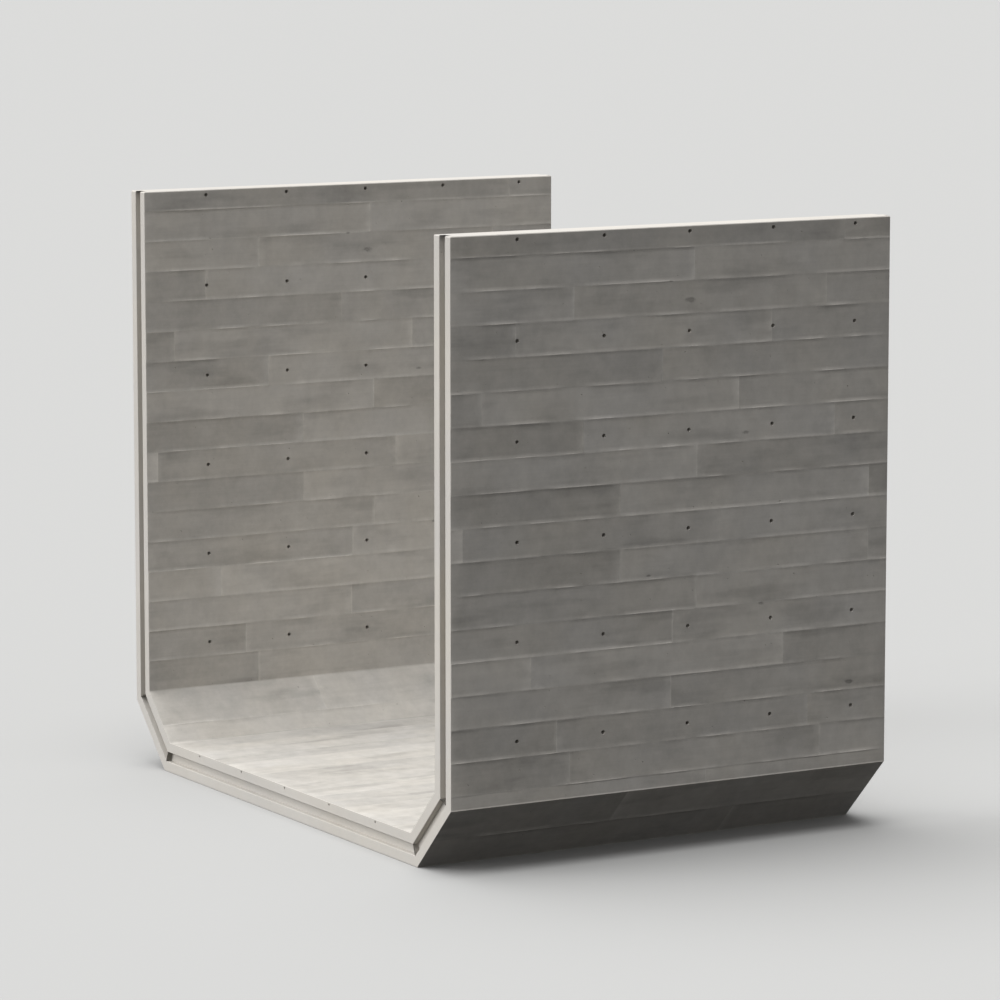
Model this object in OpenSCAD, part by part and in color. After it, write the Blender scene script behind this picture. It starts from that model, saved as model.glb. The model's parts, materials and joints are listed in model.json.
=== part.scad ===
// Open-topped culvert unit of precast concrete: a U-shaped length of channel
// with a flat floor, two upright walls and splayed haunches between them.
// Every member has the same thickness. A groove runs round the front end and a
// tongue round the back end, so that units stand in line and interlock.
//
// The floor lies in the XY plane, the channel runs along Y with the grooved end
// towards -Y, and the origin is under the middle of the unit's base.

/* [Channel] */
// Clear width between the walls
inside_width = 3000; // [1800:50:4000]
// Clear height from the floor to the tops of the walls
inside_height = 2800; // [1600:50:3600]
// Length of the unit, from the grooved end face to the shoulder of the tongue
unit_length = 2400; // [1200:50:3000]

/* [Shell] */
// Thickness of the floor, the haunches and the walls
shell_t = 155; // [125:5:220]
// Leg of the splay at the outer bottom corners
haunch_leg = 320; // [200:10:450]

/* [Joint] */
// Width of the groove across the shell's thickness
groove_w = 52; // [40:1:60]
// Depth of the groove
groove_depth = 28; // [15:1:45]
// Gap left for sealant round the tongue, at its sides and at its tip
joint_gap = 3; // [2:0.5:6]

/* [Form tie holes] */
// Distance between neighbouring tie holes, both ways
tie_pitch = 463; // [300:1:600]
// Radius of a tie hole
tie_r = 9; // [6:0.5:14]
// Depth of a tie hole
tie_depth = 40; // [20:5:55]
// Distance from the grooved end to the first column of tie holes
tie_from_end = 349; // [150:1:500]
// Distance from the wall top to the first row of tie holes
tie_from_top = 26; // [20:1:150]
// Least distance from the last tie hole to the back end or to the haunch
tie_margin = 100; // [40:5:150]

/* [End shutter holes] */
// Radius of the pin holes that the end shutters leave under the floor's edge
pin_r = 6; // [4:0.5:7]
// Depth of a pin hole
pin_depth = 30; // [15:5:50]
// Distance from the floor's surface down to the pin holes
pin_from_floor = 13; // [9:1:25]

/* [Hidden] */
$fn = 48;

outside_width = inside_width + 2 * shell_t;
outside_height = inside_height + shell_t;

// The tongue fits the groove with the same gap at both sides and at its tip.
groove_in = (shell_t - groove_w) / 2;
tongue_in = groove_in + joint_gap;
tongue_w = groove_w - 2 * joint_gap;
tongue_len = groove_depth - joint_gap;

front_y = -(unit_length + tongue_len) / 2;
shoulder_y = front_y + unit_length;

// How far a crease moves along the shell for each millimetre of depth. At a
// 45 degree splay the same thickness all round asks for tan(22.5), or 0.414;
// 0.42 keeps every crease on a 0.01 mm grid, so that the mitres meet exactly.
crease_shift = 0.42;

tie_columns = 1 + floor((unit_length - tie_from_end - tie_margin) / tie_pitch);
tie_reach = outside_height - tie_from_top - tie_margin - upper_crease(shell_t)[1];
tie_rows = 1 + floor(tie_reach / tie_pitch);

// Pin holes stand in line with the middle of the floor, at the tie holes' pitch.
pins_each_side = floor((lower_crease(shell_t)[0] - tie_margin) / tie_pitch);

// A cutter runs this far past the face that it opens.
over = 5;

// Points of the right half's section, at a depth in from the outer face.
function wall_top(depth) = [outside_width / 2 - depth, outside_height];
function upper_crease(depth) =
    [outside_width / 2 - depth, haunch_leg + crease_shift * depth];
function lower_crease(depth) =
    [outside_width / 2 - haunch_leg - crease_shift * depth, depth];
function mirrored(p) = [-p[0], p[1]];
function raised(p) = [p[0], p[1] + over];

// Each strip is the part of one member that lies between two depths.
module wall_strip(outer, inner)
    polygon([wall_top(outer), upper_crease(outer), upper_crease(inner), wall_top(inner)]);

module haunch_strip(outer, inner)
    polygon([upper_crease(outer), lower_crease(outer), lower_crease(inner), upper_crease(inner)]);

module floor_strip(outer, inner)
    polygon([
        lower_crease(outer),
        mirrored(lower_crease(outer)),
        mirrored(lower_crease(inner)),
        lower_crease(inner)
    ]);

// The groove's section runs in one piece from wall top to wall top.
module groove_section(outer, inner)
    polygon([
        raised(wall_top(outer)),
        upper_crease(outer),
        lower_crease(outer),
        mirrored(lower_crease(outer)),
        mirrored(upper_crease(outer)),
        mirrored(raised(wall_top(outer))),
        mirrored(raised(wall_top(inner))),
        mirrored(upper_crease(inner)),
        mirrored(lower_crease(inner)),
        lower_crease(inner),
        upper_crease(inner),
        raised(wall_top(inner))
    ]);

// Carries a section along the channel, from one Y to another.
module along(from_y, to_y)
    translate([0, to_y, 0])
        rotate([90, 0, 0])
            linear_extrude(to_y - from_y)
                children();

module groove()
    along(front_y - over, front_y + groove_depth)
        groove_section(groove_in, groove_in + groove_w);

// A hole bored along X from the outer or the inner face of the right wall.
module tie_hole(y, z) {
    translate([outside_width / 2 - tie_depth, y, z])
        rotate([0, 90, 0])
            cylinder(h = tie_depth + over, r = tie_r);
    translate([inside_width / 2 - over, y, z])
        rotate([0, 90, 0])
            cylinder(h = tie_depth + over, r = tie_r);
}

module tie_holes()
    for (column = [0 : tie_columns - 1], row = [0 : tie_rows - 1])
        tie_hole(
            front_y + tie_from_end + column * tie_pitch,
            outside_height - tie_from_top - row * tie_pitch
        );

// Pin holes enter both end faces of the floor, above the groove and the tongue.
module pin_holes()
    for (i = [-pins_each_side : pins_each_side])
        for (start_y = [front_y - over, shoulder_y - pin_depth])
            translate([i * tie_pitch, start_y, shell_t - pin_from_floor])
                rotate([-90, 0, 0])
                    cylinder(h = pin_depth + over, r = pin_r);

module wall()
    difference() {
        union() {
            along(front_y, shoulder_y) wall_strip(0, shell_t);
            along(shoulder_y - over, shoulder_y + tongue_len)
                wall_strip(tongue_in, tongue_in + tongue_w);
        }
        groove();
        tie_holes();
    }

module haunch()
    difference() {
        union() {
            along(front_y, shoulder_y) haunch_strip(0, shell_t);
            along(shoulder_y - over, shoulder_y + tongue_len)
                haunch_strip(tongue_in, tongue_in + tongue_w);
        }
        groove();
    }

module floor_slab()
    color([0.70, 0.69, 0.66])
        difference() {
            union() {
                along(front_y, shoulder_y) floor_strip(0, shell_t);
                along(shoulder_y - over, shoulder_y + tongue_len)
                    floor_strip(tongue_in, tongue_in + tongue_w);
            }
            groove();
            pin_holes();
        }

module right_haunch()
    color([0.52, 0.51, 0.49]) haunch();

module left_haunch()
    color([0.52, 0.51, 0.49]) mirror([1, 0, 0]) haunch();

module right_wall()
    color([0.60, 0.59, 0.57]) wall();

module left_wall()
    color([0.60, 0.59, 0.57]) mirror([1, 0, 0]) wall();

floor_slab();
left_haunch();
right_haunch();
left_wall();
right_wall();
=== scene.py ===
import json
import math

import bmesh
import bpy
import numpy as np
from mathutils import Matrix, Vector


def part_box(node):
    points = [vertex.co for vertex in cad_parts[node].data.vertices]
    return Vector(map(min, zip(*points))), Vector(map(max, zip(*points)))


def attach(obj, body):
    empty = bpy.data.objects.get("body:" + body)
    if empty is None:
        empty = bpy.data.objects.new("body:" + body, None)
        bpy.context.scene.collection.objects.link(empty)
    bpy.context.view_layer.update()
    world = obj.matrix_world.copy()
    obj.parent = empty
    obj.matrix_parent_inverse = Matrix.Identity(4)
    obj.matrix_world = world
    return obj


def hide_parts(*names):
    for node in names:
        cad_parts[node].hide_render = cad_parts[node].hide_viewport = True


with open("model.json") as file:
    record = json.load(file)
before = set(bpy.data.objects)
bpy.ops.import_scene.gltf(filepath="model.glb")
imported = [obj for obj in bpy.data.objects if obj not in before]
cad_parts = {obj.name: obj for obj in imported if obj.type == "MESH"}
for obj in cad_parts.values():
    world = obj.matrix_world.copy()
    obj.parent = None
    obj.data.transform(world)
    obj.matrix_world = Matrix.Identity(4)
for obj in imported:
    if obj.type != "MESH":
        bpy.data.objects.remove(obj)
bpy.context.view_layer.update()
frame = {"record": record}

# ---------------------------------------------------------------------------
# The casting. A culvert unit is cast in one pour of grey concrete: floor,
# haunches and walls of one thickness. Here each member is a closed mesh of
# its own, cut at the creases on mitre planes, and they meet face to face.

MOUNTS = {mount["name"]: mount for mount in frame["record"]["mounts"]}
WALL_LOW, WALL_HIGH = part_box("right_wall")
HAUNCH_LOW, HAUNCH_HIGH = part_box("right_haunch")

HALF_WIDTH = WALL_HIGH.x
INNER_HALF_WIDTH = WALL_LOW.x
TOP_Z = WALL_HIGH.z
OUTER_CREASE_Z = WALL_LOW.z
THICKNESS = HALF_WIDTH - INNER_HALF_WIDTH
INNER_CREASE_Z = HAUNCH_HIGH.z
CREASE_SHIFT = INNER_CREASE_Z - OUTER_CREASE_Z
FLOOR_HALF_WIDTH = HALF_WIDTH - OUTER_CREASE_Z

FRONT_Y = WALL_LOW.y
SHOULDER_Y = MOUNTS["tongue_shoulder"]["pos_m"][1]
TIP_Y = WALL_HIGH.y
GROOVE_BOTTOM_Y = MOUNTS["groove_bottom"]["pos_m"][1]
GROOVE_WIDTH = 0.052
GROOVE_IN = (THICKNESS - GROOVE_WIDTH) / 2
JOINT_GAP = (GROOVE_BOTTOM_Y - FRONT_Y) - (TIP_Y - SHOULDER_Y)
TONGUE_IN = GROOVE_IN + JOINT_GAP

# A steel edge of the mould leaves a small chamfer on every free arris.
ARRIS = 0.003
LIP_ARRIS = 0.0015
COLUMN_SPACING = 0.06


def end_profile(inset, back):
    """Depth and Y of an end's corners, in from the outer face."""
    if back:
        face, ridge = SHOULDER_Y - inset, TIP_Y - inset
        low, high = TONGUE_IN + inset, THICKNESS - TONGUE_IN - inset
        corners = [(ARRIS + inset, face), (low, face), (low, ridge - LIP_ARRIS),
                   (low + LIP_ARRIS, ridge), (high - LIP_ARRIS, ridge),
                   (high, ridge - LIP_ARRIS), (high, face), (THICKNESS - ARRIS - inset, face)]
        return corners
    face, trough = FRONT_Y + inset, GROOVE_BOTTOM_Y + inset
    low, high = GROOVE_IN - inset, THICKNESS - GROOVE_IN + inset
    corners = [(ARRIS + inset, face), (low - LIP_ARRIS, face), (low, face + LIP_ARRIS),
               (low, trough), (high, trough), (high, face + LIP_ARRIS),
               (high + LIP_ARRIS, face), (THICKNESS - ARRIS - inset, face)]
    return corners[::-1]


def cast_member(name, stations, columns, relief_outer, relief_inner, top_inset=0.0):
    """A closed mesh through stations, each an outer point, an inner point and a row place.

    The relief gives how far each face stands back at a row place and a Y."""
    backs = end_profile(0.0, True), end_profile(top_inset, True)
    fronts = end_profile(0.0, False), end_profile(top_inset, False)
    outer = relief_outer(stations, columns)
    inner = relief_inner(stations, columns)
    count = len(columns)
    verts, faces = [], []
    for i, (outer_point, inner_point, *_) in enumerate(stations):
        capped = top_inset > 0.0 and i == 0
        inset = top_inset if capped else 0.0
        profile = [(outer[i][j] + inset, y) for j, y in enumerate(columns)]
        profile += backs[capped]
        profile += [(THICKNESS - inner[i][j] - inset, columns[j]) for j in reversed(range(count))]
        profile += fronts[capped]
        ax, az = outer_point
        bx, bz = inner_point
        for depth, y in profile:
            t = depth / THICKNESS
            verts.append((ax + (bx - ax) * t, y, az + (bz - az) * t))
    ring = len(verts) // len(stations)
    for i in range(len(stations) - 1):
        for j in range(ring):
            k = (j + 1) % ring
            faces.append((i * ring + j, i * ring + k, (i + 1) * ring + k, (i + 1) * ring + j))
    back = len(backs[0])
    for start, flip in ((0, False), ((len(stations) - 1) * ring, True)):
        caps = [(j, j + 1, 2 * count + back - 2 - j, 2 * count + back - 1 - j)
                for j in range(count - 1)]
        caps.append(tuple(range(count - 1, count + back + 1)))
        caps.append(tuple(range(2 * count + back - 1, ring)) + (0,))
        for cap in caps:
            corners = tuple(start + index for index in cap)
            faces.append(corners[::-1] if flip else corners)
    mesh = bpy.data.meshes.new(name)
    mesh.from_pydata(verts, [], faces)
    return mesh


def finish_member(mesh):
    """Turns the faces outwards and reports open edges."""
    bm = bmesh.new()
    bm.from_mesh(mesh)
    bmesh.ops.recalc_face_normals(bm, faces=bm.faces)
    if bm.calc_volume(signed=True) < 0.0:
        bmesh.ops.reverse_faces(bm, faces=bm.faces)
    open_edges = sum(1 for edge in bm.edges if not edge.is_manifold)
    bm.to_mesh(mesh)
    bm.free()
    if open_edges:
        raise RuntimeError(f"{mesh.name} has {open_edges} open edges")
    return mesh


# ---------------------------------------------------------------------------
# The form lining. The mould's faces are lined with planed softwood boards laid
# along the unit, three to each spacing of the form ties. A little grout runs
# between the boards, and sets as thin fins along their edges and butt joints.

TIE_MOUNTS = [MOUNTS[f"right_wall_outer_tie_hole_{place}"]["pos_m"] for place in ("front", "back")]
TIE_PITCH = (TIE_MOUNTS[1][1] - TIE_MOUNTS[0][1]) / 4
BOARD_WIDTH = TIE_PITCH / 3
BOARD_LENGTH = 1.39
FIN_WIDTH = 0.004
FIN_HEIGHT = 0.0016
BUTT_FIN_HEIGHT = 0.0008
BUTT_FIN_SHARE = 0.9
BOARD_DEPTHS = (0.0010, 0.0020)
CUP_DEPTH = 0.0004
ROW_PLACES = (0.12, 0.5, 0.88)


class Lining:
    """The boards behind one face: rows across it, and butt joints along each row."""

    def __init__(self, lines, first_joints, seed, dark_rows=(), tied_ends=(False, True), fins=1.0,
                 painted_shading=0.0):
        self.random = np.random.default_rng(seed)
        self.lines = np.array(lines)
        self.tied_ends = tied_ends
        self.fins = fins
        self.joints, self.depths, self.tones = [], [], []
        for row, first in enumerate(first_joints):
            joints = np.arange(FRONT_Y + first, SHOULDER_Y - 0.06, BOARD_LENGTH)
            self.joints.append(joints)
            self.depths.append(self.random.uniform(*BOARD_DEPTHS, len(joints) + 1))
            tones = self.random.normal(0.0, 0.42, len(joints) + 1)
            if row + 1 in dark_rows:
                tones[0] = -1.0 - 0.3 * self.random.random()
            # The shift added to every tone of a lining is painted light or painted shade: lighter on the walls'
            # inner faces, darker on the bed.
            self.tones.append(np.clip(tones, -1.3, 1.0) + painted_shading)
        waves = self.random.uniform(size=(len(lines), 4, 2))
        self.waves = waves[..., 0] * 2 * math.pi, 3.0 + 27.0 * waves[..., 1]

    def columns(self):
        """The butt joints of every row."""
        return np.concatenate(self.joints)

    def fin(self, line, y):
        """How much of its full height the fin along a line has, from 0 to 1."""
        phase, rate = self.waves
        wave = sum(np.sin(y * rate[line, k] + phase[line, k]) for k in range(4)) / 4
        return self.fins * np.clip(0.45 + 1.1 * wave, 0.0, 1.0)

    def board(self, row, y):
        """Depth and tone of the board of a row at a Y, and its butt joint's fin there."""
        joints = self.joints[row]
        place = np.searchsorted(joints, y)
        gap = np.min(np.abs(y[:, None] - joints[None, :]), axis=1, initial=1.0)
        depth, tone = self.depths[row][place], self.tones[row][place]
        near = gap < FIN_WIDTH / 4
        depth = np.where(near, self.depths[row].min() - BUTT_FIN_HEIGHT, depth)
        depth = depth + 0.00015 * np.sin(7.0 * y + 2.4 * row)
        # Butt joints' fins are painted paler, partly as the grout's own colour and partly as a painted highlight.
        butt_fin = BUTT_FIN_SHARE * np.where(near, 1.0, np.where(gap < 1.5 * FIN_WIDTH, 0.4, 0.0))
        return np.maximum(depth, 0.0), tone, butt_fin

    def read(self, place, y):
        """Depth, tone, fin and painted fin shadow at places across the rows (one value) and Ys."""
        rows = len(self.joints)
        line = int(np.argmin(np.abs(self.lines - place)))
        gap = place - self.lines[line]
        row = int(np.clip(np.searchsorted(self.lines, place, side="right") - 1, 0, rows - 1))
        if abs(gap) < FIN_WIDTH / 4:
            above, below = max(line - 1, 0), min(line, rows - 1)
            depth_a, tone_a, _ = self.board(above, y)
            depth_b, tone_b, _ = self.board(below, y)
            fin = self.fin(line, y)
            if line in (0, rows):
                edge = self.tied_ends[0 if line == 0 else 1]
                depth = np.zeros(len(y)) if edge else depth_a
                return depth, (tone_a + tone_b) / 2, np.zeros(len(y)), np.zeros(len(y))
            depth = np.maximum(np.minimum(depth_a, depth_b) - FIN_HEIGHT * fin, 0.0)
            return depth, (tone_a + tone_b) / 2, fin, np.zeros(len(y))
        depth, tone, butt_fin = self.board(row, y)
        width = self.lines[row + 1] - self.lines[row]
        across = (place - self.lines[row]) / width
        depth = depth + CUP_DEPTH * 4 * across * (1 - across) * (-1) ** row
        close = abs(gap) < 1.5 * FIN_WIDTH and 0 < line < rows
        fin = np.maximum(butt_fin, 0.3 * self.fin(line, y) if close else 0.0)
        # The line just below each fin gets the fin's painted shadow.
        seam = self.fin(line, y) if close and gap > 0 else np.zeros(len(y))
        return np.maximum(depth, 0.0), tone, fin, seam

    def relief(self, places, columns):
        return [self.read(place, columns)[0] for place in places]


def row_places(lines):
    """Where the mesh has a station across the rows: each line, its feet, and between."""
    places = [lines[0]]
    for low, high in zip(lines, lines[1:]):
        if high - low > 6 * FIN_WIDTH:
            places.append(low + FIN_WIDTH)
            places += [low + (high - low) * t for t in ROW_PLACES]
            places.append(high - FIN_WIDTH)
        places.append(high)
    return places


def shared_columns(*linings):
    """Y of the mesh's columns: even ones, and three at each butt joint."""
    joints = np.unique(np.round(np.concatenate([lining.columns() for lining in linings]), 4))
    ends = FRONT_Y + ARRIS, SHOULDER_Y - ARRIS
    even = np.arange(ends[0], ends[1] - COLUMN_SPACING / 2, COLUMN_SPACING)[1:]
    near = [y for y in even if np.min(np.abs(joints - y), initial=1.0) > 4 * FIN_WIDTH]
    fins = [joint + step for joint in joints for step in (-FIN_WIDTH, 0.0, FIN_WIDTH)]
    columns = np.array(sorted([*ends, *near, *fins]))
    keep = np.concatenate([[True], np.diff(columns) > FIN_WIDTH / 3])
    return columns[keep]


def paint(mesh, faces_of, linings):
    """Writes what the material reads: the board's tone (with painted light on the walls' inner faces and painted
    shade on the bed), its fins, the painted shadow under each fin, and where boards are.

    faces_of gives, for each vertex, the side (0 outer, 1 inner, -1 neither) and the row place."""
    co = np.zeros(len(mesh.vertices) * 3, np.float32)
    mesh.vertices.foreach_get("co", co)
    co = co.reshape(-1, 3).astype(float)
    side, place = faces_of(co)
    values = np.zeros((4, len(co)), np.float32)
    for index, lining in enumerate(linings):
        if lining is None:
            continue
        chosen = np.flatnonzero(side == index)
        rounded = np.round(place[chosen], 4)
        for step in np.unique(rounded):
            here = chosen[rounded == step]
            depth, tone, fin, seam = lining.read(step, co[here, 1])
            values[:, here] = tone, fin, seam, np.ones(len(here))
    for name, row in zip(("tone", "fin", "seam", "boarded"), values):
        mesh.attributes.new(name, "FLOAT", "POINT").data.foreach_set("value", row)


# ---------------------------------------------------------------------------
# Grey cement with a little warmth, left as it comes from the mould: streaked by the grain of the boards,
# clouded by the release oil, with small air pits painted darker as the shade in them, and plainer and
# paler where a steel edge formed it. The fins are painted paler, partly as the grout's colour and partly
# as a painted highlight, with a painted shadow under each.

WARM_GREY = (0.462, 0.436, 0.394)
COOL_GREY = (0.440, 0.424, 0.400)
STEEL_FORMED = 1.14
TONE_SHARE = 0.125
KNOTS = [(1.28, 2.61, 1.0), (1.17, 2.70, 0.5), (1.59, 1.97, 0.7), (1.06, 1.33, 0.5),
         (1.68, 1.15, 0.6), (2.19, 0.73, 0.9)]


class Signal:
    """A value in a material. Arithmetic on it adds Math nodes."""

    def __init__(self, tree, socket=None):
        self.tree = tree
        self.socket = socket

    def node(self, kind, settings, inputs, output=0):
        """Adds a node: its settings first, then the values or links of its sockets."""
        node = self.tree.nodes.new(kind)
        for key, value in settings.items():
            setattr(node, key, value)
        for key, value in inputs.items():
            if isinstance(value, Signal):
                self.tree.links.new(value.socket, node.inputs[key])
            else:
                node.inputs[key].default_value = value
        return None if output is None else Signal(self.tree, node.outputs[output])

    def maths(self, operation, *values):
        return self.node("ShaderNodeMath", {"operation": operation}, dict(enumerate(values)))

    def vector(self, operation, *values, output=0):
        settings = {"operation": operation}
        return self.node("ShaderNodeVectorMath", settings, dict(enumerate(values)), output)

    def noise(self, vector, scale, detail, roughness=0.5):
        """Noise about zero, between -0.5 and 0.5."""
        inputs = {"Vector": vector, "Scale": scale, "Detail": detail, "Roughness": roughness}
        return self.node("ShaderNodeTexNoise", {}, inputs) - 0.5

    def between(self, low, high):
        """0 below low, 1 above high, and smooth between."""
        settings = {"interpolation_type": "SMOOTHSTEP"}
        inputs = {"Value": self, "From Min": low, "From Max": high}
        return self.node("ShaderNodeMapRange", settings, inputs)

    def attribute(self, name):
        return self.node("ShaderNodeAttribute", {"attribute_name": name}, {}, "Fac")

    def __add__(self, other):
        return self.maths("ADD", self, other)

    def __radd__(self, other):
        return self.maths("ADD", other, self)

    def __sub__(self, other):
        return self.maths("SUBTRACT", self, other)

    def __rsub__(self, other):
        return self.maths("SUBTRACT", other, self)

    def __mul__(self, other):
        return self.maths("MULTIPLY", self, other)

    def __rmul__(self, other):
        return self.maths("MULTIPLY", other, self)


concrete = bpy.data.materials.new("board_marked_concrete")
concrete.use_nodes = True
concrete.node_tree.nodes.clear()
start = Signal(concrete.node_tree)
place = start.node("ShaderNodeTexCoord", {}, {}, "Object")
tone = start.attribute("tone")
fin = start.attribute("fin")
# The painted shadow under each fin, read from the mesh.
seam = start.attribute("seam")
boarded = start.attribute("boarded")

shift = start.node("ShaderNodeCombineXYZ", {}, {"X": tone * 3.0, "Y": tone * 7.0, "Z": tone * 5.0})
board_place = start.vector("ADD", place, shift)
grain_place = start.vector("MULTIPLY", board_place, (130.0, 2.4, 130.0))
streak_place = start.vector("MULTIPLY", board_place, (34.0, 1.1, 34.0))
cloud = start.noise(place, 1.5, 3.0)
oil = start.noise(board_place, 4.2, 4.0, 0.6)
mottle = start.noise(place, 15.0, 5.0, 0.65)
fine = start.noise(place, 160.0, 3.0, 0.6)
grain = start.noise(grain_place, 1.0, 4.0, 0.6)
streak = start.noise(streak_place, 1.0, 4.0, 0.6)
# Air pits: small hollows in the bump, painted darker as the shade in them.
air = start.noise(place, 52.0, 1.0).between(0.27, 0.33) * boarded

knot = None
for knot_y, knot_z, size in KNOTS:
    centre = (0.0, (FRONT_Y + knot_y) / size, knot_z * 2.2 / size)
    scaled = start.vector("MULTIPLY", place, (0.0, 1.0 / size, 2.2 / size))
    near = start.vector("DISTANCE", scaled, centre, output="Value")
    knot = near if knot is None else start.maths("MINIMUM", knot, near)
knot_wave = knot + 0.07 * mottle + 0.03 * oil
knot_ring = (1.0 - knot_wave.between(0.006, 0.034)) * boarded
knot_edge = knot_ring * knot_wave.between(0.004, 0.012)

patch_place = start.vector("MULTIPLY", board_place, (9.0, 1.9, 9.0))
patch = start.noise(patch_place, 1.0, 3.0).between(0.00, 0.20) - 0.5
shade = 1.0 + TONE_SHARE * tone + 0.16 * cloud + 0.05 * fine + 0.10 * mottle
shade = shade + boarded * (0.30 * oil - 0.17 * patch + 0.30 * mottle + 0.08 * grain + 0.15 * streak)
# Fins are painted paler, partly the grout's own paler colour and partly a painted highlight where their tops
# catch the light.
shade = shade + 0.24 * fin * (1.0 + 2.5 * mottle) - 0.06 * seam - 0.28 * air - 0.34 * knot_ring - 0.10 * knot_edge
shade = shade * (STEEL_FORMED - (STEEL_FORMED - 1.0) * boarded)
warmth = (0.5 + 1.3 * start.noise(board_place, 2.3, 3.0)).between(0.0, 1.0)
warm = start.node("ShaderNodeMix", {"data_type": "RGBA"},
                  {"Factor": warmth, 6: (*COOL_GREY, 1.0), 7: (*WARM_GREY, 1.0)}, 2)
colour = start.node("ShaderNodeVectorMath", {"operation": "SCALE"}, {"Vector": warm, "Scale": shade})
roughness = 0.86 + 0.14 * mottle - 0.10 * oil
height = 0.00022 * grain * boarded + 0.00030 * streak * boarded + 0.00016 * fine + 0.0005 * mottle
height = height - 0.0012 * air - 0.0010 * knot_ring
normal = start.node("ShaderNodeBump", {}, {"Height": height, "Distance": 1.0, "Strength": 0.6})
surface = start.node("ShaderNodeBsdfPrincipled", {},
                     {"Base Color": colour, "Roughness": roughness, "Normal": normal, "IOR": 1.45})
start.node("ShaderNodeOutputMaterial", {}, {"Surface": surface}, None)


# ---------------------------------------------------------------------------
# The holes. The ties that held the two faces of the wall mould leave plugged
# round holes in a grid, with the seat of a plastic cone at each mouth. Air that
# was trapped against the mould leaves small round voids.

TIE_RADIUS = MOUNTS["right_wall_outer_tie_hole_front"]["dims"]["r_mm"] / 1000
TIE_DEPTH = MOUNTS["right_wall_outer_tie_hole_front"]["dims"]["length_mm"] / 1000
TIE_COLUMNS = 5
TIE_ROWS = 6
TIE_MIDDLE_Y = (TIE_MOUNTS[0][1] + TIE_MOUNTS[1][1]) / 2
FIRST_TIE_Z = TIE_MOUNTS[0][2] + TIE_PITCH
TIE_MIDDLE_Z = FIRST_TIE_Z - TIE_PITCH * (TIE_ROWS - 1) / 2
SEAT_RADIUS = 0.0102
SEAT_DEPTH = 0.0025
VOID_RADIUS = 0.004
VOIDS_PER_AREA = 14.0
SLIVER = 0.000005


def hole_tree(name, settings):
    """Starts a node tree with named inputs, and returns it and a way to add nodes."""
    tree = bpy.data.node_groups.new(name, "GeometryNodeTree")
    face = tree.interface
    face.new_socket("Geometry", in_out="INPUT", socket_type="NodeSocketGeometry")
    face.new_socket("Geometry", in_out="OUTPUT", socket_type="NodeSocketGeometry")
    for label, kind in settings.items():
        face.new_socket(label, in_out="INPUT", socket_type="NodeSocket" + kind)
    given = tree.nodes.new("NodeGroupInput")

    def add(kind, settings=None, inputs=None, output=0):
        node = tree.nodes.new(kind)
        for key, value in (settings or {}).items():
            setattr(node, key, value)
        for key, value in (inputs or {}).items():
            for one in value if isinstance(value, list) else [value]:
                if isinstance(one, bpy.types.NodeSocket):
                    tree.links.new(one, node.inputs[key])
                else:
                    node.inputs[key].default_value = one
        return node.outputs[output]

    return tree, given.outputs, add


def close_tree(tree, add, member, cutters, material):
    """Cuts the cutters from the member, and ends the tree."""
    cut = add("GeometryNodeMeshBoolean", {"operation": "DIFFERENCE", "solver": "MANIFOLD"},
              {"Mesh 1": member, "Mesh 2": cutters})
    real = add("GeometryNodeRealizeInstances", None, {"Geometry": cut})
    done = add("GeometryNodeSetMaterial", None, {"Geometry": real, "Material": material})
    tree.links.new(done, tree.nodes.new("NodeGroupOutput").inputs[0])


def add_voids(add, given, member):
    """Small spheres set on the faces that look along an axis."""
    facing = add("ShaderNodeVectorMath", {"operation": "DOT_PRODUCT"},
                 {0: add("GeometryNodeInputNormal"), 1: given["Face Axis"]}, "Value")
    size = add("ShaderNodeMath", {"operation": "ABSOLUTE"}, {0: facing})
    chosen = add("FunctionNodeCompare", {"operation": "GREATER_THAN"}, {0: size, 1: 0.97})
    points = add("GeometryNodeDistributePointsOnFaces", None,
                 {"Mesh": member, "Selection": chosen, "Density": given["Voids Per Area"],
                  "Seed": given["Seed"]})
    ball = add("GeometryNodeMeshUVSphere", None,
               {"Segments": 10, "Rings": 6, "Radius": given["Void Radius"]})
    scale = add("FunctionNodeRandomValue", {"data_type": "FLOAT"},
                {2: 0.35, 3: 1.0, "Seed": given["Seed"]}, 1)
    spots = add("GeometryNodeInstanceOnPoints", None,
                {"Points": points, "Instance": ball, "Scale": scale})
    return add("GeometryNodeRealizeInstances", None, {"Geometry": spots})


VOID_INPUTS = {"Face Axis": "Vector", "Voids Per Area": "Float", "Void Radius": "Float",
               "Seed": "Int", "Material": "Material"}
wall_inputs = {"Pitch": "Float", "Columns": "Int", "Rows": "Int", "Radius": "Float",
               "Depth": "Float", "Seat Radius": "Float", "Seat Depth": "Float",
               "Outer Face": "Vector", "Inner Face": "Vector", **VOID_INPUTS}
wall_tree, given, add = hole_tree("tie_holes", wall_inputs)
spans = []
for count in ("Rows", "Columns"):
    gaps = add("ShaderNodeMath", {"operation": "SUBTRACT"}, {0: given[count], 1: 1.0})
    spans.append(add("ShaderNodeMath", {"operation": "MULTIPLY"}, {0: gaps, 1: given["Pitch"]}))
grid = add("GeometryNodeMeshGrid", None,
           {"Size X": spans[0], "Size Y": spans[1], "Vertices X": given["Rows"],
            "Vertices Y": given["Columns"]})
ALONG_X = (0.0, math.pi / 2, 0.0)
grids = [add("GeometryNodeTransform", None,
             {"Geometry": grid, "Rotation": ALONG_X, "Translation": given[face]})
         for face in ("Outer Face", "Inner Face")]
both = add("GeometryNodeJoinGeometry", None, {"Geometry": grids})
cutters = []
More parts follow.
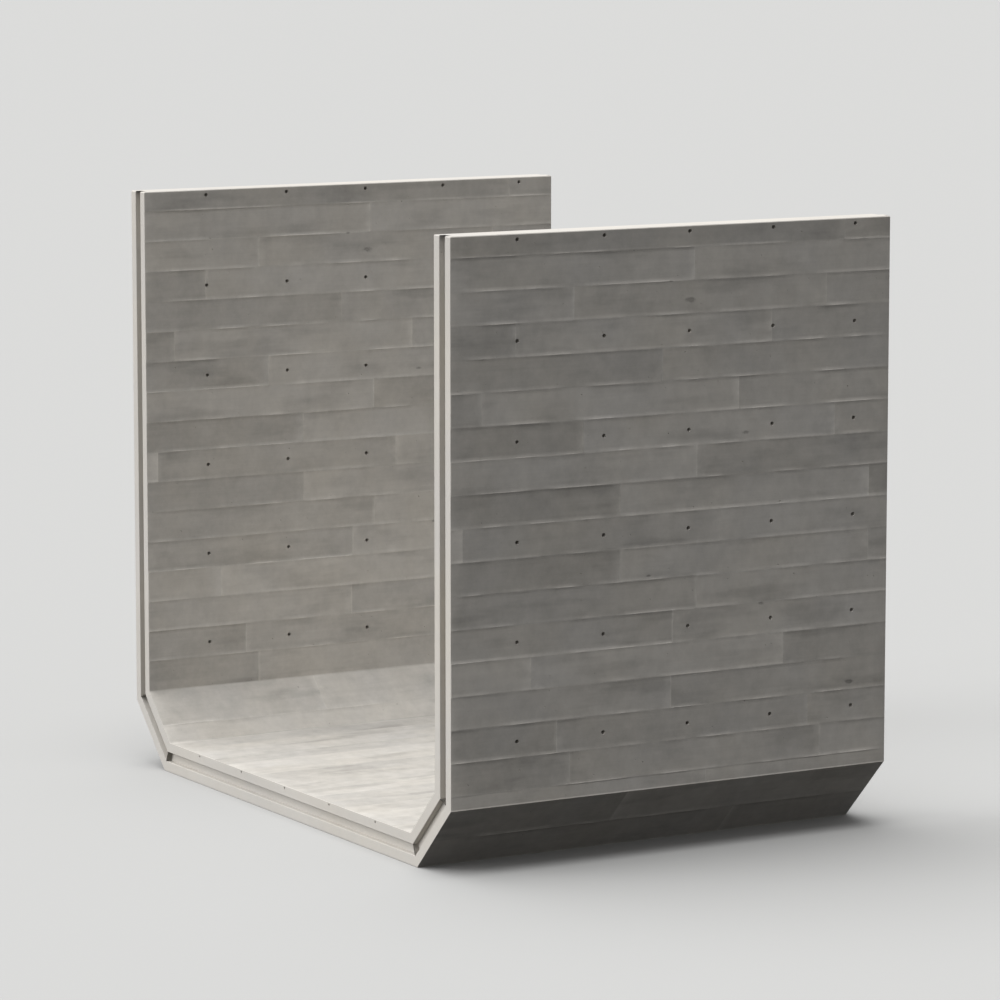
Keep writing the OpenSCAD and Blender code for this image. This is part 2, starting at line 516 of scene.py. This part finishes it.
for radius, depth in (("Radius", "Depth"), ("Seat Radius", "Seat Depth")):
    length = add("ShaderNodeMath", {"operation": "MULTIPLY"}, {0: given[depth], 1: 2.0})
    bar = add("GeometryNodeMeshCylinder", None,
              {"Vertices": 24, "Radius": given[radius], "Depth": length})
    turned = add("GeometryNodeTransform", None, {"Geometry": bar, "Rotation": ALONG_X})
    bars = add("GeometryNodeInstanceOnPoints", None, {"Points": both, "Instance": turned})
    cutters.append(add("GeometryNodeRealizeInstances", None, {"Geometry": bars}))
cutters.append(add_voids(add, given, given["Geometry"]))
close_tree(wall_tree, add, given["Geometry"], cutters, given["Material"])


def merge_slivers(mesh):
    """Closes up the tiny faces that a cut leaves where two edges nearly meet."""
    bm = bmesh.new()
    bm.from_mesh(mesh)
    before = len(bm.verts), sum(1 for edge in bm.edges if not edge.is_manifold), bm.calc_volume(signed=True)
    bmesh.ops.remove_doubles(bm, verts=bm.verts, dist=SLIVER)
    bmesh.ops.dissolve_degenerate(bm, dist=SLIVER, edges=bm.edges)
    after = len(bm.verts), sum(1 for edge in bm.edges if not edge.is_manifold), bm.calc_volume(signed=True)
    print("SLIVERS", mesh.name, before, after)
    bm.to_mesh(mesh)
    bm.free()


def cut_holes(mesh, tree, values):
    """Puts a member through a tree of holes, and returns it as a plain mesh object."""
    piece = bpy.data.objects.new(mesh.name, mesh)
    bpy.context.scene.collection.objects.link(piece)
    modifier = piece.modifiers.new("holes", "NODES")
    modifier.node_group = tree
    for item in tree.interface.items_tree:
        if item.in_out == "INPUT" and item.name in values:
            modifier[item.identifier] = values[item.name]
    graph = bpy.context.evaluated_depsgraph_get()
    result = bpy.data.meshes.new_from_object(piece.evaluated_get(graph), depsgraph=graph)
    piece.modifiers.remove(modifier)
    piece.data = result
    result.name = mesh.name
    merge_slivers(result)
    return piece


def finish_piece(piece, node, faces_of, linings):
    """Paints a member, smooths its boards, and lets it stand for its CAD node."""
    paint(piece.data, faces_of, linings)
    piece.data.shade_smooth()
    piece.data.set_sharp_from_angle(angle=math.radians(32))
    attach(piece, "root")
    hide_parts(node)


# ---------------------------------------------------------------------------
# The walls. Upright, cast against boards on both faces, with a groove down the
# front end and a tongue down the back. The tops are struck off level.

TOP_ROW = 0.099
FIRST_JOINTS = (2.14, 1.30, 0.65, 0.34, 1.13, 0.16, 0.70, 1.32, 0.90, 0.06, 0.90, 1.32, 1.19,
                0.42, 1.18, 0.56, 0.63, 1.38)
DARK_ROWS = (1, 4, 6, 7, 9, 11, 16, 17)
TOP_ARRIS = 0.003
# The walls' inner faces are painted lighter, as the light the bed throws onto them.
INNER_PAINTED_LIGHT = 0.4


def wall_lines(crease_z):
    """Distances down the face from the wall top to each line between boards."""
    last = TOP_Z - crease_z
    lines = [0.0, *np.arange(TOP_ROW, last - 4 * FIN_WIDTH, BOARD_WIDTH), last]
    return [round(float(line), 4) for line in lines]


for side, sign in (("right", 1), ("left", -1)):
    outer_lines, inner_lines = wall_lines(OUTER_CREASE_Z), wall_lines(INNER_CREASE_Z)
    outer = Lining(outer_lines, FIRST_JOINTS, 11, DARK_ROWS)
    inner = Lining(inner_lines, FIRST_JOINTS[:len(inner_lines) - 1], 11, DARK_ROWS,
                   painted_shading=INNER_PAINTED_LIGHT)
    shared = inner_lines[-2]
    below = (inner_lines[-1] - shared) / (outer_lines[-1] - shared)
    stations = [(place, place if place < shared else shared + (place - shared) * below)
                for place in row_places(outer_lines)]
    columns = shared_columns(outer, inner)
    stations = [((sign * HALF_WIDTH, TOP_Z - a), (sign * INNER_HALF_WIDTH, TOP_Z - b), a, b)
                for a, b in stations]
    print(side, len(stations), len(columns), outer_lines[-3:], inner_lines[-3:])
    mesh = cast_member(
        f"{side}_wall_cast", stations, columns,
        lambda rows, ys: outer.relief([row[2] for row in rows], ys),
        lambda rows, ys: inner.relief([row[3] for row in rows], ys), TOP_ARRIS)
    piece = cut_holes(finish_member(mesh), wall_tree, {
        "Pitch": TIE_PITCH, "Columns": TIE_COLUMNS, "Rows": TIE_ROWS, "Radius": TIE_RADIUS,
        "Depth": TIE_DEPTH, "Seat Radius": SEAT_RADIUS, "Seat Depth": SEAT_DEPTH,
        "Outer Face": (sign * HALF_WIDTH, TIE_MIDDLE_Y, TIE_MIDDLE_Z),
        "Inner Face": (sign * INNER_HALF_WIDTH, TIE_MIDDLE_Y, TIE_MIDDLE_Z),
        "Face Axis": (1.0, 0.0, 0.0), "Voids Per Area": VOIDS_PER_AREA,
        "Void Radius": VOID_RADIUS, "Seed": 3 + sign, "Material": concrete})

    def wall_faces(co):
        depth = HALF_WIDTH - np.abs(co[:, 0])
        side = np.where(depth < ARRIS - 1e-4, 0, np.where(depth > THICKNESS - ARRIS + 1e-4, 1, -1))
        return side, TOP_Z - co[:, 2]

    finish_piece(piece, f"{side}_wall", wall_faces, (outer, inner))


# ---------------------------------------------------------------------------
# The haunches. Splayed corners between the walls and the floor, of the same
# thickness, each cast between two wide boards on either face.

OUTER_HAUNCH_LINE = 0.53
INNER_HAUNCH_LINE = 0.67
SLOPE = math.sqrt(0.5)


def haunch_span(depth):
    """The upper and lower crease of the right haunch at a depth."""
    shift = CREASE_SHIFT * depth / THICKNESS
    return ((HALF_WIDTH - depth, OUTER_CREASE_Z + shift),
            (FLOOR_HALF_WIDTH - shift, depth))


for side, sign in (("right", 1), ("left", -1)):
    spans = [haunch_span(depth) for depth in (0.0, THICKNESS)]
    lengths = [math.dist(upper, lower) for upper, lower in spans]
    linings = []
    for line, length, seed in zip((OUTER_HAUNCH_LINE, INNER_HAUNCH_LINE), lengths, (21, 22)):
        linings.append(Lining([0.0, round(line * length, 4), round(length, 4)], (0.95, 1.65),
                              seed, tied_ends=(True, True)))
    parts = sorted({round(place / length, 6) for lining, length in zip(linings, lengths)
                    for place in row_places(list(lining.lines))})
    columns = shared_columns(*linings)
    stations = []
    for part in parts:
        ends = [[sign * (a + (b - a) * part) if axis == 0 else a + (b - a) * part
                 for axis, (a, b) in enumerate(zip(*span))] for span in spans]
        stations.append((*ends, part * lengths[0], part * lengths[1]))
    mesh = cast_member(
        f"{side}_haunch_cast", stations, columns,
        lambda rows, ys: linings[0].relief([row[2] for row in rows], ys),
        lambda rows, ys: linings[1].relief([row[3] for row in rows], ys))
    piece = bpy.data.objects.new(mesh.name, finish_member(mesh))
    bpy.context.scene.collection.objects.link(piece)
    mesh.materials.append(concrete)

    def haunch_faces(co):
        x, z = np.abs(co[:, 0]), co[:, 2]
        depth = (FLOOR_HALF_WIDTH - x + z) * SLOPE
        total = (FLOOR_HALF_WIDTH - spans[1][1][0] + spans[1][1][1]) * SLOPE
        side = np.where(depth < ARRIS - 1e-4, 0, np.where(depth > total - ARRIS + 1e-4, 1, -1))
        upper = np.where(side == 1, (spans[1][0][0] - x + spans[1][0][1] - z),
                         (spans[0][0][0] - x + spans[0][0][1] - z))
        return side, upper * SLOPE

    finish_piece(piece, f"{side}_haunch", haunch_faces, linings)


# ---------------------------------------------------------------------------
# The floor. Its top is the channel's bed, cast against boards laid along the
# unit. The underside is cast on a flat pallet. The pins that held the end
# shutters leave a row of small holes under the bed's edge at each end.

PIN_RADIUS = 0.006
PIN_DEPTH = 0.030
PIN_BELOW_BED = 0.013
PINS = 5
NO_JOINT = 3.0
BED_FINS = 0.3
# The bed is painted darker, as the shade that the walls cast onto it.
BED_PAINTED_SHADE = -0.7

pin_inputs = {"Pitch": "Float", "Pins": "Int", "Radius": "Float", "Depth": "Float",
              "Front": "Vector", "Back": "Vector", **VOID_INPUTS}
pin_tree, given, add = hole_tree("pin_holes", pin_inputs)
gaps = add("ShaderNodeMath", {"operation": "SUBTRACT"}, {0: given["Pins"], 1: 1.0})
span = add("ShaderNodeMath", {"operation": "MULTIPLY"}, {0: gaps, 1: given["Pitch"]})
half = add("ShaderNodeMath", {"operation": "MULTIPLY"}, {0: span, 1: -0.5})
first = add("ShaderNodeCombineXYZ", None, {"X": half})
step = add("ShaderNodeCombineXYZ", None, {"X": given["Pitch"]})
row = add("GeometryNodeMeshLine", {"mode": "OFFSET"},
          {"Count": given["Pins"], "Start Location": first, "Offset": step})
rows = [add("GeometryNodeTransform", None, {"Geometry": row, "Translation": given[end]})
        for end in ("Front", "Back")]
both = add("GeometryNodeJoinGeometry", None, {"Geometry": rows})
length = add("ShaderNodeMath", {"operation": "MULTIPLY"}, {0: given["Depth"], 1: 2.0})
bar = add("GeometryNodeMeshCylinder", None,
          {"Vertices": 20, "Radius": given["Radius"], "Depth": length})
turned = add("GeometryNodeTransform", None,
             {"Geometry": bar, "Rotation": (math.pi / 2, 0.0, 0.0)})
bars = add("GeometryNodeInstanceOnPoints", None, {"Points": both, "Instance": turned})
pins = add("GeometryNodeRealizeInstances", None, {"Geometry": bars})
close_tree(pin_tree, add, given["Geometry"], [pins, add_voids(add, given, given["Geometry"])],
           given["Material"])

bed_half = spans[1][1][0]
bed_lines = [-bed_half, *(BOARD_WIDTH * k for k in range(-8, 9)), bed_half]
bed = Lining([round(float(line), 4) for line in bed_lines], [NO_JOINT] * (len(bed_lines) - 1), 31,
             tied_ends=(True, True), fins=BED_FINS, painted_shading=BED_PAINTED_SHADE)
ratio = FLOOR_HALF_WIDTH / bed_half
stations = [((place * ratio, 0.0), (place, THICKNESS), place)
            for place in row_places(list(bed.lines))]
mesh = cast_member(
    "floor_cast", stations, shared_columns(bed),
    lambda rows, ys: np.zeros((len(rows), len(ys))),
    lambda rows, ys: bed.relief([row[2] for row in rows], ys))
MIDDLE_Z = THICKNESS - PIN_BELOW_BED
floor_piece = cut_holes(finish_member(mesh), pin_tree, {
    "Pitch": TIE_PITCH, "Pins": PINS, "Radius": PIN_RADIUS, "Depth": PIN_DEPTH,
    "Front": (0.0, FRONT_Y, MIDDLE_Z), "Back": (0.0, SHOULDER_Y, MIDDLE_Z),
    "Face Axis": (0.0, 0.0, 1.0), "Voids Per Area": VOIDS_PER_AREA / 2,
    "Void Radius": VOID_RADIUS, "Seed": 9, "Material": concrete})


def floor_faces(co):
    return np.where(co[:, 2] > THICKNESS - ARRIS + 1e-4, 1, -1), co[:, 0]


finish_piece(floor_piece, "floor_slab", floor_faces, (None, bed))


# ---------------------------------------------------------------------------
# The studio. A plain pale floor under soft light from high on the front left.
# Only the camera, gloss and glass see the floor and sky as pale, so that they
# don't throw more light on the unit.

FLOOR_SIZE = 600.0
PALE = (0.42, 0.42, 0.415, 1.0)
BOUNCE = (0.02, 0.02, 0.02, 1.0)
SKY_SHOWN = (0.72, 0.72, 0.71, 1.0)
SKY_LIGHT = (0.42, 0.42, 0.42, 1.0)
LAMPS = {"overhead": {"from": (-0.16, -0.25, 1.2), "factor": 1.10, "spread": 70.0},
         "front": {"from": (-0.25, -1.0, 0.35), "factor": 0.65, "spread": 40.0}}


def seen_rays(start):
    """1 for the rays that show a surface: camera, glossy and transmission rays."""
    path = [start.node("ShaderNodeLightPath", {}, {}, name)
            for name in ("Is Camera Ray", "Is Glossy Ray", "Is Transmission Ray")]
    return start.maths("MAXIMUM", start.maths("MAXIMUM", path[0], path[1]), path[2])


ground_mesh = bpy.data.meshes.new("studio_floor")
half = FLOOR_SIZE / 2
ground_mesh.from_pydata([(-half, -half, 0), (half, -half, 0), (half, half, 0), (-half, half, 0)],
                        [], [(0, 1, 2, 3)])
ground = bpy.data.objects.new("studio_floor", ground_mesh)
bpy.context.scene.collection.objects.link(ground)
paper = bpy.data.materials.new("studio_paper")
paper.use_nodes = True
paper.node_tree.nodes.clear()
start = Signal(paper.node_tree)
shown = start.node("ShaderNodeBsdfDiffuse", {}, {"Color": PALE})
dull = start.node("ShaderNodeBsdfDiffuse", {}, {"Color": BOUNCE})
mixed = start.node("ShaderNodeMixShader", {}, {0: seen_rays(start), 1: dull, 2: shown})
start.node("ShaderNodeOutputMaterial", {}, {"Surface": mixed}, None)
ground_mesh.materials.append(paper)

world = bpy.data.worlds.new("studio_sky")
bpy.context.scene.world = world
world.use_nodes = True
world.node_tree.nodes.clear()
start = Signal(world.node_tree)
shown = start.node("ShaderNodeBackground", {}, {"Color": SKY_SHOWN})
light = start.node("ShaderNodeBackground", {}, {"Color": SKY_LIGHT})
mixed = start.node("ShaderNodeMixShader", {}, {0: seen_rays(start), 1: light, 2: shown})
start.node("ShaderNodeOutputWorld", {}, {"Surface": mixed}, None)

for name, lamp in LAMPS.items():
    sun = bpy.data.lights.new(name, "SUN")
    sun.energy = lamp["factor"] * math.pi
    sun.angle = math.radians(lamp["spread"])
    holder = bpy.data.objects.new(name, sun)
    bpy.context.scene.collection.objects.link(holder)
    holder.rotation_euler = Vector(lamp["from"]).to_track_quat("Z", "Y").to_euler()

lens = bpy.data.cameras.new("camera")
lens.sensor_width = 36.0
lens.lens = 168.8
lens.clip_end = 1000.0
camera = bpy.data.objects.new("camera", lens)
bpy.context.scene.collection.objects.link(camera)
camera.location = (19.971, -11.554, 4.700)
camera.rotation_euler = (math.radians(90 - 7.954), 0.0, math.radians(59.943))
bpy.context.scene.camera = camera
bpy.context.scene.view_settings.view_transform = "Standard"
